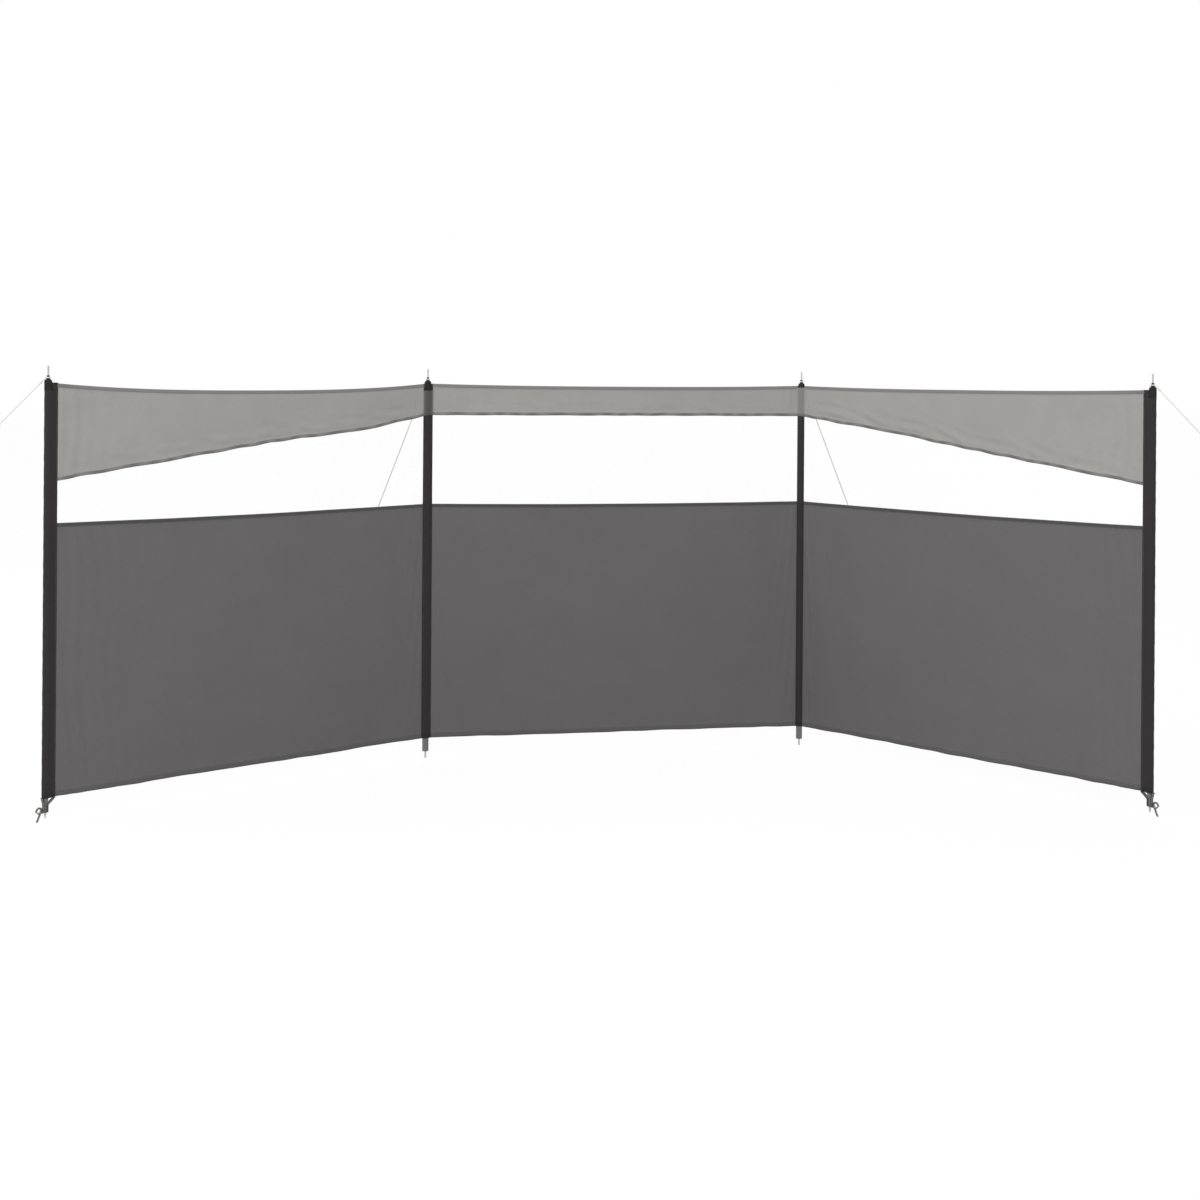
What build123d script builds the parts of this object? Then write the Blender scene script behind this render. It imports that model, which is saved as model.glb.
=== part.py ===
from build123d import *
import math
import os

# A beach windbreak of three bays, set up on the ground. Four steel poles stand in sewn sleeves.
# Each bay has a dark lower panel, a clear window and a light top band, and a guy holds each pole.
#
# The origin is on the ground, in the flat underside of the left middle pole's foot. +X runs along
# the middle bay to the right, +Y goes to the back, away from the sheltered side, and +Z is up.
# All sizes are in millimetres and all angles in degrees.

# The three bays, and how far each side bay turns forward from the line of the middle one
bay_width = 1535.0
left_fold_angle = 29.4
right_fold_angle = 55.0

# The cloth: a panel, a window and a band, one above the other, with the band deeper at the ends
ground_gap = 52.0
panel_height = 925.0
window_height = 350.0
band_depth_at_end = 337.0
band_depth_at_middle = 125.0
left_sag = 26.0
middle_sag = 10.0
right_sag = 6.0
cloth_thickness = 2.0
film_thickness = 1.0
hem_height = 18.0
hem_proud = 0.8

# The poles
pole_radius = 11.0
pole_wall = 1.0
pole_above_cloth = 6.0
plug_length = 30.0
plug_clearance = 0.1

# The sewn sleeves round the poles, each with a seam allowance towards its bays
sleeve_clearance = 0.3
sleeve_wall = 1.2
end_seam = 21.5
left_middle_seam = 7.5
right_middle_seam = 3.5
seam_flat = 2.0
lap_clearance = 0.3

# The cap on a pole and the pin that stands out of it
cap_wall = 2.0
cap_skirt = 26.0
cap_cone = 8.0
neck_radius = 5.0
neck_height = 10.0
pin_radius = 3.0
pin_root_radius = 3.5
pin_height = 33.0
pin_tip = 1.5
bore_clearance = 0.1

# The feet and the ground spikes
foot_radius = 12.5
foot_chamfer = 2.0
end_foot_height = 46.0
end_stem_height = 24.0
end_stem_radius = 5.5
spike_radius = 4.0
spike_length = 38.0
end_spike_length = 18.0
spike_point = 12.0
spike_head_radius = 8.0
spike_head = 3.0

# The guys, their runners and the ground pegs
guy_spread = 1500.0
guy_radius = 2.0
eye_rope_radius = 2.4
guy_clearance = 0.3
knot_radius = 4.0
knot_length = 9.0
eye_knot_distance = 24.0
left_guy_angle = 17.0
right_guy_angle = 39.0
runner_distance = 420.0
runner_spacing = 24.0
runner_margin = 8.0
runner_width = 14.0
runner_thickness = 5.0
peg_radius = 3.5
peg_depth = 150.0
peg_point = 12.0
peg_rise = 6.0
hook_radius = 8.0
hook_leg = 8.0
bight_height = 12.0

# The straps that hold the end sleeves down to their corner pegs
strap_thickness = 2.0
strap_width = 20.0
strap_hole_clearance = 0.3
strap_clearance = 0.4
strap_inner_reach = 31.0
tab_reach = 27.0
tab_end_height = 2.0
corner_peg_distance = 16.5
corner_peg_angle = 22.0

# A drawn-out point ends in this share of its shaft's radius
point_share = 0.25

quarter_turn = 90.0
half_turn = 180.0

# Heights and radii that follow from these
fabric_height = panel_height + window_height + band_depth_at_middle
panel_top = ground_gap + panel_height
cloth_top = ground_gap + fabric_height
pole_top = cloth_top + pole_above_cloth
cap_top = pole_top + cap_cone
neck_top = cap_top + neck_height
skirt_bottom = cloth_top - cap_skirt
pole_inside = pole_radius - pole_wall
sleeve_inside = pole_radius + sleeve_clearance
sleeve_radius = sleeve_inside + sleeve_wall
cap_radius = pole_radius + cap_wall
lap_top = skirt_bottom - cloth_thickness
end_foot_bottom = ground_gap - end_foot_height

UP = Vector(0, 0, 1)


def heading(angle):
    """A level unit vector, turned from +X towards +Y."""
    turn = math.radians(angle)
    return Vector(math.cos(turn), math.sin(turn), 0)


# Where the poles stand
left_middle_foot = Vector(0, 0, 0)
right_middle_foot = left_middle_foot + heading(0) * bay_width
left_end_foot = left_middle_foot - heading(left_fold_angle) * bay_width
right_end_foot = right_middle_foot + heading(-right_fold_angle) * bay_width

# The directions of the bays, seen from the left, and of the guys
left_bay_heading = left_fold_angle
middle_bay_heading = 0.0
right_bay_heading = -right_fold_angle
left_guy_heading = quarter_turn + left_guy_angle
right_guy_heading = quarter_turn - right_guy_angle

# Each pole: its foot on the ground, the directions of its bays, its seam and its guy's direction
poles = {
    "left_end": (
        left_end_foot,
        [left_bay_heading],
        end_seam,
        left_bay_heading + half_turn,
    ),
    "left_middle": (
        left_middle_foot,
        [left_bay_heading + half_turn, middle_bay_heading],
        left_middle_seam,
        left_guy_heading,
    ),
    "right_middle": (
        right_middle_foot,
        [middle_bay_heading + half_turn, right_bay_heading],
        right_middle_seam,
        right_guy_heading,
    ),
    "right_end": (
        right_end_foot,
        [right_bay_heading + half_turn],
        end_seam,
        right_bay_heading,
    ),
}

# Each bay: its first and last pole, its direction and the sag of its top edge
bays = {
    "left": ("left_end", "left_middle", left_bay_heading, left_sag),
    "middle": ("left_middle", "right_middle", middle_bay_heading, middle_sag),
    "right": ("right_middle", "right_end", right_bay_heading, right_sag),
}


def is_end(pole):
    return len(poles[pole][1]) == 1


def seam_reach(pole):
    """How far a pole's sleeve and seam reach into a bay, from the pole's axis."""
    return sleeve_radius + poles[pole][2]


def band_depth(pole):
    return band_depth_at_end if is_end(pole) else band_depth_at_middle


def save(piece, name):
    piece.part.label = name
    export_step(piece.part, "parts/" + name + ".step")


def sleeve_outline(plane, reach, grow):
    """The outside of a sleeve towards one bay: round the pole, drawn in to a flat seam along X."""
    with BuildSketch(plane) as outline:
        Circle(sleeve_radius + grow)
        with Locations((reach - seam_flat, 0)):
            Circle(cloth_thickness / 2 + grow)
        make_hull()
        with Locations((reach - seam_flat / 2, 0)):
            Rectangle(seam_flat, cloth_thickness + 2 * grow)
    return outline.sketch


def sleeve_hollow(plane, reach):
    """The inside of a sleeve towards one bay: the cloth leaves the pole in two layers that meet at the seam."""
    taper = math.asin((sleeve_radius - cloth_thickness / 2) / (reach - seam_flat))
    leave = (sleeve_inside * math.sin(taper), sleeve_inside * math.cos(taper))
    with BuildSketch(plane) as hollow:
        Circle(sleeve_inside)
        with BuildLine():
            Polyline(
                (leave[0], leave[1]),
                (sleeve_inside / math.sin(taper), 0),
                (leave[0], -leave[1]),
                close=True,
            )
        make_face()
    return hollow.sketch


def build_pole(name, foot):
    with BuildPart() as pole:
        with BuildSketch(Plane(foot + UP * ground_gap)):
            Circle(pole_radius)
            Circle(pole_inside, mode=Mode.SUBTRACT)
        extrude(amount=pole_top - ground_gap)
    save(pole, name + "_pole")


def build_sleeve(name, foot, directions):
    reach = seam_reach(name)
    planes = [Plane(foot + UP * ground_gap, x_dir=heading(angle), z_dir=UP) for angle in directions]
    with BuildPart() as sleeve:
        for plane in planes:
            extrude(sleeve_outline(plane, reach, 0), amount=fabric_height)
        for plane in planes:
            extrude(sleeve_hollow(plane, reach), amount=fabric_height, mode=Mode.SUBTRACT)
        with BuildSketch(Plane(foot + UP * skirt_bottom)):
            Circle(cap_radius + lap_clearance)
        extrude(amount=cap_skirt, mode=Mode.SUBTRACT)
    save(sleeve, name + "_sleeve")


def build_cap(name, foot):
    """A moulded cap: its skirt covers the pole's top, its cone ends in a neck for the guy's eye."""
    with BuildPart() as cap:
        with BuildSketch(Plane(foot, x_dir=(1, 0, 0), z_dir=(0, -1, 0))):
            with BuildLine():
                Polyline(
                    (pole_radius + plug_clearance, skirt_bottom),
                    (cap_radius, skirt_bottom),
                    (cap_radius, pole_top),
                    (neck_radius, cap_top),
                    (neck_radius, neck_top),
                    (pin_root_radius + bore_clearance, neck_top),
                    (pin_root_radius + bore_clearance, pole_top),
                    (pole_radius + plug_clearance, pole_top),
                    close=True,
                )
            make_face()
        revolve(axis=Axis(foot, UP))
    save(cap, name + "_cap")


def build_pin(name, foot):
    """A plug in the pole's top, with the pin that guys and eyelets go over."""
    with BuildPart() as pin:
        with BuildSketch(Plane(foot + UP * (pole_top - plug_length))):
            Circle(pole_inside - plug_clearance)
        extrude(amount=plug_length)
        with BuildSketch(Plane(foot + UP * pole_top)):
            Circle(pin_root_radius)
        extrude(amount=neck_top - pole_top)
        with BuildSketch(Plane(foot + UP * neck_top)):
            Circle(pin_radius)
        extrude(amount=pin_height)
        chamfer(pin.faces().sort_by(Axis.Z)[-1].edges(), length=pin_tip)
    save(pin, name + "_pin")


def build_foot(name, foot):
    """A moulded foot plugged into the pole. A middle pole's is a flat-bottomed stub, an end pole's a cone on a stem."""
    if is_end(name):
        bottom, top_radius, bottom_radius = end_foot_bottom, pole_radius, end_stem_radius
        shoulder = (end_stem_radius, end_foot_bottom + end_stem_height)
    else:
        bottom, top_radius, bottom_radius = 0, foot_radius, foot_radius - foot_chamfer
        shoulder = (foot_radius, foot_chamfer)
    with BuildPart() as body:
        with BuildSketch(Plane(foot, x_dir=(1, 0, 0), z_dir=(0, -1, 0))):
            with BuildLine():
                Polyline((bottom_radius, bottom), shoulder, (top_radius, ground_gap))
                Polyline(
                    (top_radius, ground_gap),
                    (pole_inside - plug_clearance, ground_gap),
                    (pole_inside - plug_clearance, ground_gap + plug_length),
                    (spike_radius + bore_clearance, ground_gap + plug_length),
                    (spike_radius + bore_clearance, bottom),
                    (bottom_radius, bottom),
                )
            make_face()
        revolve(axis=Axis(foot, UP))
    save(body, name + "_foot")


def build_spike(name, foot):
    """A steel spike through the foot: its head rests on the plug and its point goes into the ground."""
    depth = end_spike_length if is_end(name) else spike_length
    with BuildPart() as spike:
        with BuildSketch(Plane(foot + UP * (ground_gap + plug_length))):
            Circle(spike_head_radius)
        extrude(amount=spike_head)
        with BuildSketch(Plane(foot - UP * (depth - spike_point))):
            Circle(spike_radius)
        extrude(amount=depth - spike_point + ground_gap + plug_length)
        with BuildSketch(Plane(foot - UP * (depth - spike_point))):
            Circle(spike_radius)
        with BuildSketch(Plane(foot - UP * depth)):
            Circle(spike_radius * point_share)
        loft()
    save(spike, name + "_spike")


def bay_plane(bay):
    """A bay's upright plane: X runs along the bay from its first pole, Y is the height."""
    first, last, angle, sag = bays[bay]
    along = heading(angle)
    return Plane(poles[first][0], x_dir=along, z_dir=along.cross(UP))


def bay_span(bay):
    """Where a bay's cloth starts and ends between its two sleeves."""
    first, last, angle, sag = bays[bay]
    return seam_reach(first), bay_width - seam_reach(last)


def band_bottom(bay, x):
    """The height of a top band's lower edge, a straight line from pole to pole."""
    first, last, angle, sag = bays[bay]
    share = x / bay_width
    depth = band_depth(first) * (1 - share) + band_depth(last) * share
    return cloth_top - depth


def build_lower_panel(bay):
    start, end = bay_span(bay)
    middle = (start + end) / 2
    with BuildPart() as panel:
        with BuildSketch(bay_plane(bay)):
            with Locations((middle, ground_gap + panel_height / 2)):
                Rectangle(end - start, panel_height)
        extrude(amount=cloth_thickness / 2, both=True)
        with BuildSketch(bay_plane(bay)):
            with Locations((middle, ground_gap + hem_height / 2), (middle, panel_top - hem_height / 2)):
                Rectangle(end - start, hem_height)
        extrude(amount=cloth_thickness / 2 + hem_proud, both=True)
    save(panel, bay + "_lower_panel")


def build_window(bay):
    start, end = bay_span(bay)
    with BuildPart() as window:
        with BuildSketch(bay_plane(bay)):
            with BuildLine():
                Polyline(
                    (start, panel_top),
                    (end, panel_top),
                    (end, band_bottom(bay, end)),
                    (start, band_bottom(bay, start)),
                    close=True,
                )
            make_face()
        extrude(amount=film_thickness / 2, both=True)
    save(window, bay + "_window")


def front_lap(pole, angle, front):
    """The end of a top band that passes in front of a middle pole's sleeve, up to its centre line."""
    foot, directions, seam, guy_direction = poles[pole]
    reach = seam_reach(pole)
    plane = Plane(foot + UP * (cloth_top - band_depth_at_end), x_dir=heading(angle), z_dir=UP)
    fold_angle = left_fold_angle if pole == "left_middle" else right_fold_angle
    half_angle = math.radians((half_turn - fold_angle) / 2)
    far = 2 * reach
    height = lap_top - cloth_top + band_depth_at_end
    outside = lap_clearance + cloth_thickness
    with BuildPart() as lap:
        extrude(sleeve_outline(plane, reach, outside), amount=height)
        extrude(sleeve_outline(plane, reach, lap_clearance), amount=height, mode=Mode.SUBTRACT)
        with BuildSketch(plane):
            with BuildLine():
                Polyline(
                    (0, 0),
                    (far * math.cos(half_angle), front * far * math.sin(half_angle)),
                    (reach, front * far),
                    (reach, 0),
                    close=True,
                )
            make_face()
        extrude(amount=height, mode=Mode.INTERSECT)
        with BuildSketch(plane):
            with Locations((reach + cloth_thickness / 2, front * outside / 2)):
                Rectangle(cloth_thickness, cloth_thickness + outside)
        extrude(amount=height)
    return lap.part


def build_top_band(bay):
    """A light top band with a sagging top edge, hems, and a lap over each middle pole's sleeve."""
    first, last, angle, sag = bays[bay]
    start, end = bay_span(bay)
    middle = (start + end) / 2
    with BuildPart() as laps:
        if not is_end(first):
            add(front_lap(first, angle, -1))
        if not is_end(last):
            add(front_lap(last, angle + half_turn, 1))
        with BuildSketch(bay_plane(bay)):
            with BuildLine():
                Polyline(
                    (0, band_bottom(bay, 0)),
                    (bay_width, band_bottom(bay, bay_width)),
                    (bay_width, lap_top),
                    (0, lap_top),
                    close=True,
                )
            make_face()
        extrude(amount=bay_width, both=True, mode=Mode.INTERSECT)
    with BuildPart() as band:
        with BuildSketch(bay_plane(bay)):
            with BuildLine():
                Line((start, band_bottom(bay, start)), (end, band_bottom(bay, end)))
                Line((end, band_bottom(bay, end)), (end, cloth_top))
                ThreePointArc((end, cloth_top), (middle, cloth_top - sag), (start, cloth_top))
                Line((start, cloth_top), (start, band_bottom(bay, start)))
            make_face()
        extrude(amount=cloth_thickness / 2, both=True)
        with BuildSketch(bay_plane(bay)):
            with BuildLine():
                Polyline(
                    (start, band_bottom(bay, start) + hem_height),
                    (start, band_bottom(bay, start)),
                    (end, band_bottom(bay, end)),
                    (end, band_bottom(bay, end) + hem_height),
                    close=True,
                )
            make_face()
            with BuildLine():
                ThreePointArc((end, cloth_top), (middle, cloth_top - sag), (start, cloth_top))
                Line((start, cloth_top), (start, cloth_top - hem_height))
                ThreePointArc(
                    (start, cloth_top - hem_height),
                    (middle, cloth_top - sag - hem_height),
                    (end, cloth_top - hem_height),
                )
                Line((end, cloth_top - hem_height), (end, cloth_top))
            make_face()
        extrude(amount=cloth_thickness / 2 + hem_proud, both=True)
        add(laps.part)
    save(band, bay + "_top_band")


def build_peg(name, eye, up, hook_side):
    """A round steel peg with a hooked head. What it holds goes round its shaft at the eye point."""
    plane = Plane(eye, x_dir=hook_side, z_dir=hook_side.cross(up))
    with BuildPart() as peg:
        with BuildLine(plane) as shape:
            Line((0, -peg_depth), (0, peg_rise))
            CenterArc((hook_radius, peg_rise), hook_radius, half_turn, -half_turn)
            Line((2 * hook_radius, peg_rise), (2 * hook_radius, peg_rise - hook_leg))
        with BuildSketch(Plane(eye - up * peg_depth, z_dir=up)):
            Circle(peg_radius)
        sweep(path=shape.wires()[0])
        with BuildSketch(Plane(eye - up * peg_depth, z_dir=up)):
            Circle(peg_radius)
        with BuildSketch(Plane(eye - up * (peg_depth + peg_point), z_dir=up)):
            Circle(peg_radius * point_share)
        loft()
    save(peg, name)


def build_guy(name, foot, direction):
    """A guy from the bound eye on the cap's neck, through its runner, round its peg and back to the runner."""
    away = heading(direction)
    ring = neck_radius + guy_clearance + eye_rope_radius
    eye_height = cap_top + guy_clearance + eye_rope_radius
    top = foot + away * ring + UP * eye_height
    low = foot + away * guy_spread + UP * bight_height
    length = (low - top).length
    down = (low - top).normalized()
    side = UP.cross(away)
    peg_up = down.cross(side)
    plane = Plane(top, x_dir=down, z_dir=peg_up)

    # The bight lies round the peg, and the return strand leaves it for the runner's second hole
    bight = peg_radius + guy_clearance + guy_radius
    to_hole = math.hypot(runner_distance, runner_spacing - bight)
    hole_angle = math.atan2(runner_spacing - bight, -runner_distance)
    leave = hole_angle - math.acos(bight / to_hole)
    leave_point = plane.from_local_coords(
        Vector(length + bight * math.cos(leave), bight + bight * math.sin(leave))
    )
    hole_point = plane.from_local_coords(Vector(length - runner_distance, runner_spacing))
    back = (hole_point - leave_point).normalized()
    knot_point = hole_point + back * (runner_thickness / 2 + guy_clearance + knot_length / 2)

    with BuildPart() as guy:
        with BuildLine(plane) as strand:
            Line((0, 0), (length, 0))
            CenterArc((length, bight), bight, -quarter_turn, quarter_turn + math.degrees(leave))
            Line(leave_point, knot_point)
        with BuildSketch(Plane(top, z_dir=down)):
            Circle(guy_radius)
        sweep(path=strand.wires()[0])
        with BuildSketch(Plane(foot - away * ring + UP * eye_height, x_dir=away, z_dir=side)):
            Circle(eye_rope_radius)
        revolve(axis=Axis(foot, UP))
        for middle, along in ((top + down * eye_knot_distance, down), (knot_point, back)):
            with BuildSketch(Plane(middle - along * knot_length / 2, z_dir=along)):
                Circle(knot_radius)
            extrude(amount=knot_length)
    save(guy, name + "_guy")

    runner_plane = Plane(top + down * (length - runner_distance), x_dir=side, z_dir=down)
    with BuildPart() as runner:
        with BuildSketch(runner_plane):
            with Locations((runner_spacing / 2, 0)):
                SlotOverall(runner_spacing + 2 * runner_margin, runner_width)
            with Locations((0, 0), (runner_spacing, 0)):
                Circle(guy_radius + guy_clearance, mode=Mode.SUBTRACT)
        extrude(amount=runner_thickness / 2, both=True)
    save(runner, name + "_guy_runner")

    build_peg(name + "_guy_peg", low + side * bight, peg_up, down)


def build_corner(name, foot, inward):
    """The strap round an end pole's foot: a V under the sleeve, both ends drawn in along the stem and
    round its bottom, and a tab outside that a hooked peg holds down."""
    out = heading(inward + half_turn)
    plane = Plane(foot, x_dir=out, z_dir=out.cross(UP))
    level = end_foot_bottom - strap_thickness / 2
    turn_in = end_stem_radius + strap_clearance + strap_thickness / 2
    fork = end_foot_bottom + end_stem_height
    arm_top = pole_radius + strap_clearance + strap_thickness / 2
    tab_slope = (level - tab_end_height) / (tab_reach - turn_in)
    peg_level = level - tab_slope * (corner_peg_distance - turn_in)
    lean = math.radians(corner_peg_angle)
    peg_up = UP * math.cos(lean) - out * math.sin(lean)
    peg_side = out * math.cos(lean) + UP * math.sin(lean)
    peg_eye = foot + out * corner_peg_distance + UP * peg_level
    cut_plane = Plane(foot + UP * ground_gap)

    with BuildPart() as strap:
        with BuildSketch(plane):
            with BuildLine():
                Polyline(
                    (turn_in - 2 * strap_inner_reach, 2 * ground_gap - fork),
                    (-turn_in, fork),
                    (-turn_in, level),
                    (turn_in, level),
                    (turn_in, fork),
                    (2 * arm_top - turn_in, 2 * ground_gap - fork),
                )
            trace(line_width=strap_thickness)
            with BuildLine():
                Line((turn_in, level), (tab_reach, tab_end_height))
            trace(line_width=strap_thickness)
        extrude(amount=strap_width / 2, both=True)
        split(bisect_by=cut_plane, keep=Keep.BOTTOM)
        with BuildSketch(Plane(foot)):
            Circle(spike_radius + strap_hole_clearance)
        extrude(amount=ground_gap, mode=Mode.SUBTRACT)
        with BuildSketch(Plane(peg_eye, z_dir=peg_up)):
            Circle(peg_radius + strap_hole_clearance)
        extrude(amount=strap_width, both=True, mode=Mode.SUBTRACT)
    save(strap, name + "_corner_strap")

    build_peg(name + "_corner_peg", peg_eye, peg_up, peg_side)


os.makedirs("parts", exist_ok=True)

for pole_name, (pole_foot, bay_directions, pole_seam, guy_direction) in poles.items():
    build_pole(pole_name, pole_foot)
    build_sleeve(pole_name, pole_foot, bay_directions)
    build_cap(pole_name, pole_foot)
    build_pin(pole_name, pole_foot)
    build_foot(pole_name, pole_foot)
    build_spike(pole_name, pole_foot)
    build_guy(pole_name, pole_foot, guy_direction)
    if is_end(pole_name):
        build_corner(pole_name, pole_foot, bay_directions[0])

for bay_name in bays:
    build_lower_panel(bay_name)
    build_window(bay_name)
    build_top_band(bay_name)
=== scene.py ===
import math

import bpy
import numpy as np
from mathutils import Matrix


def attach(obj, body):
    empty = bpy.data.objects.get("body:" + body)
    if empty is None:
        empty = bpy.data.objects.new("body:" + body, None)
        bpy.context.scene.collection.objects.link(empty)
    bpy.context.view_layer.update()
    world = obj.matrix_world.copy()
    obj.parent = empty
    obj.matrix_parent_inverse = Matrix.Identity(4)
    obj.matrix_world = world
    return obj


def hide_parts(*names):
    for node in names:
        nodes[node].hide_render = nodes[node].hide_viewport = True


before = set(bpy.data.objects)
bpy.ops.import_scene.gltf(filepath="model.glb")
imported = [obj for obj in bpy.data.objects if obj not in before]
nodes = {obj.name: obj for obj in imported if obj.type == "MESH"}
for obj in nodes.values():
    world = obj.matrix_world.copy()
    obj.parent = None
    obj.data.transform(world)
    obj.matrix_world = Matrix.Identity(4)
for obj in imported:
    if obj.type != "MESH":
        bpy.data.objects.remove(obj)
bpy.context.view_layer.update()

# All lengths are in metres, in the frame of the CAD part: the origin is under the left middle pole's
# foot, X runs along the middle bay to the right, Y goes to the back and Z is up.
UP = np.array([0.0, 0.0, 1.0])
TURN = 2 * np.pi
WHITE = (1.0, 1.0, 1.0, 1.0)


def heading(degrees):
    """A level unit vector: the cosine and the sine of an angle turned from X towards Y."""
    angle = math.radians(degrees)
    return np.array([math.cos(angle), math.sin(angle), 0.0])


# The bays, with the angle that each is folded by, and the feet of their poles
BAY = 1.535
FOLDS = {"left": 29.4, "middle": 0.0, "right": -55.0}
BAYS = {
    "left": ("left_end", "left_middle"),
    "middle": ("left_middle", "right_middle"),
    "right": ("right_middle", "right_end"),
}
FEET = {"left_middle": np.zeros(3), "right_middle": np.array([BAY, 0.0, 0.0])}
FEET["left_end"] = FEET["left_middle"] - heading(FOLDS["left"]) * BAY
FEET["right_end"] = FEET["right_middle"] + heading(FOLDS["right"]) * BAY

# The cloth's edges: its gap over the ground, the panels' seam, the top, and the bands' depth at the poles
GAP = 0.052
PANEL_TOP = 0.977
CLOTH_TOP = 1.452
TOP_SAG = {"left": 0.027, "middle": 0.008, "right": 0.009}
DEPTH = {"left_end": 0.337, "left_middle": 0.125, "right_middle": 0.125, "right_end": 0.337}
BAND_SLOPE = {"left": 0.212 / BAY, "middle": 0.0, "right": 0.212 / BAY}
PANEL_SAG = 0.006
BOTTOM_RIPPLE = 0.0006
BAND_RIPPLE = {"left": 0.0014, "middle": 0.0005, "right": 0.0014}
# Where each band's lower edge bows, as a share of its bay, and how far down
BAND_BOWS = {"left": (0.80, 0.014), "middle": (0.5, 0.0), "right": (0.28, -0.006)}

# Half thicknesses, the widths of the hems and seams, and how far from them the stitches run
CLOTH_HALF = 0.00045
HEM_HALF = 0.0010
FILM_HALF = 0.0002
PANEL_HEM = 0.018
PANEL_SEAM = 0.013
BAND_HEM = 0.011
BAND_TOP_HEM = 0.013
HEM_CREASE = 0.0012
STITCH_INSET = 0.0015
WINDOW_STITCH_INSET = 0.0020
CLOTH_TUCK = 0.003
FILM_TUCK = 0.006
COLUMN_STEP = 0.008
PANEL_ROW_STEP = 0.012
BAND_ROW_STEP = 0.010
WELD_DISTANCE = 0.082
WELD_WIDTH = 0.0016

# The stitches themselves: from one to the next, their length and their thread's radius
STITCH_PITCH = 0.0042
STITCH_LENGTH = 0.0030
STITCH_RADIUS = 0.00035

# The shade of hems, seams and welds: 0 is plain cloth and 1 its edge colour
PANEL_HEM_SHADE = 0.35
PANEL_SEAM_SHADE = 0.95
BAND_HEM_SHADE = 0.40
# Painted shadow of folds along the band's lower hem, added to its hem shade and varying along it
PAINTED_FOLD_SHADOW = 0.31
BAND_TOP_SHADE = 0.46
END_POLE_SHADE = 0.35
SLEEVE_HEM_SHADE = 0.5
LAP_HEM_SHADE = 0.7
WELD_SHADE = 0.35

# How far the cloth's relief stands out, by its kind
RELIEF_SEEDS = {"left": 3, "middle": 5, "right": 7}
BELLY = 0.010
SLOW_FOLDS = 0.0075
SLOW_LENGTHS = (0.9, 0.55, 0.38, 0.21)
PUCKERS = 0.0010
CREASES = {"left": 0.0034, "middle": 0.0019, "right": 0.0034}
END_GATHERS = 0.0030
MIDDLE_GATHERS = 0.0018
FRILL = 0.0020

# The sleeves: the radius round a pole, the flat at the seam, and how far the seam is from the pole
SLEEVE = 0.0125
SLEEVE_HALF = 0.0003
SLEEVE_HEM_HALF = 0.0006
SLEEVE_HEM = 0.016
SEAM_FLAT = 0.002
SEAM_HALF = 0.001
SEAM_TIP_HALF = 0.0009
SEAM_STITCH_INSET = 0.0042
SEAM_STITCH_OUT = 0.0024
SEAM_STITCH_END = 0.004
REACH = {"left_end": 0.034, "left_middle": 0.020, "right_middle": 0.016, "right_end": 0.034}
SLEEVE_HEADINGS = {
    "left_end": [29.4],
    "left_middle": [209.4, 0.0],
    "right_middle": [180.0, -55.0],
    "right_end": [125.0],
}
# Above this height only the flat parts of a sleeve go on, outside the cap
SKIRT_BOTTOM = 1.426
CAP_ROOM = 0.0137

# The bands' laps in front of the middle sleeves
LAP_TOPS = {"left_middle": 1.424, "right_middle": 1.444}
# How far each lap is darkened over its sleeve: painted shade of the dark sleeve and pole behind the thin
# band cloth
LAP_PAINTED_SHADES = {"left_middle": 1.0, "right_middle": 0.45}
LAP_AWAY = 0.0011
LAP_REACH = 0.004
LAP_TOP_HEM = 0.004
LAP_ROW_STEP = 0.012

# The guys, their caps, runners and pegs, as the CAD part has them
GUY_HEADINGS = {"left_end": 209.4, "left_middle": 107.0, "right_middle": 51.0, "right_end": -55.0}
NECK_RADIUS = 0.005
CAP_TOP = 1.466
CLEARANCE = 0.0003
EYE_ROPE_RADIUS = 0.0024
GUY_RADIUS = 0.002
PEG_RADIUS = 0.0035
GUY_SPREAD = 1.5
GUY_SAG = 0.006
BIGHT_HEIGHT = 0.012
RUNNER_DISTANCE = 0.420
RUNNER_SPACING = 0.024
EYE_KNOT_DISTANCE = 0.024
RUNNER_KNOT_DISTANCE = 0.0073
GUY_END = 0.010
EYE_STRAND_RADIUS = 0.0022
WHIPPING_TURNS = 2.5
WHIPPING_LENGTH = 0.0066
WHIPPING_AWAY = 0.0022
WHIPPING_RADIUS = 0.0018

# The straps under the end sleeves, in their own upright plane: out from the pole, and up
STEM_SIDE = 0.0069
STRAP_LINE = [
    (-0.0310, 0.0520),
    (-STEM_SIDE, 0.0300),
    (-STEM_SIDE, 0.0050),
    (STEM_SIDE, 0.0050),
    (STEM_SIDE, 0.0300),
    (0.0124, 0.0520),
]
TAB_LINE = [(STEM_SIDE, 0.0050), (0.0270, 0.0020)]
STRAP_HALF_WIDTH = 0.0098
STRAP_HALF = 0.0008
CORNER_PEG_DISTANCE = 0.0165
EYELET_RADIUS = 0.0056
EYELET_ROD = 0.0011
EYELET_LIFT = 0.0009


def metres(u, v):
    """A UV map in metres: u and v spread over each other's shape and paired."""
    return np.stack(np.broadcast_arrays(u, v), -1)


def distances(line):
    """How far along a line each of its points is: the running sum of the lengths between them."""
    return np.concatenate([[0], np.cumsum(np.linalg.norm(np.diff(line, axis=0), axis=1))])


def number_grid(*shape):
    """The numbers 0, 1, 2 and on, row by row, in a grid of a shape."""
    return np.arange(math.prod(shape)).reshape(shape)


def cells(numbers):
    """The four corners of each cell of a number grid, once round the cell."""
    low, high = numbers[..., :-1, :], numbers[..., 1:, :]
    return np.stack([low[..., :-1], low[..., 1:], high[..., 1:], high[..., :-1]], -1).reshape(-1, 4)


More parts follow.
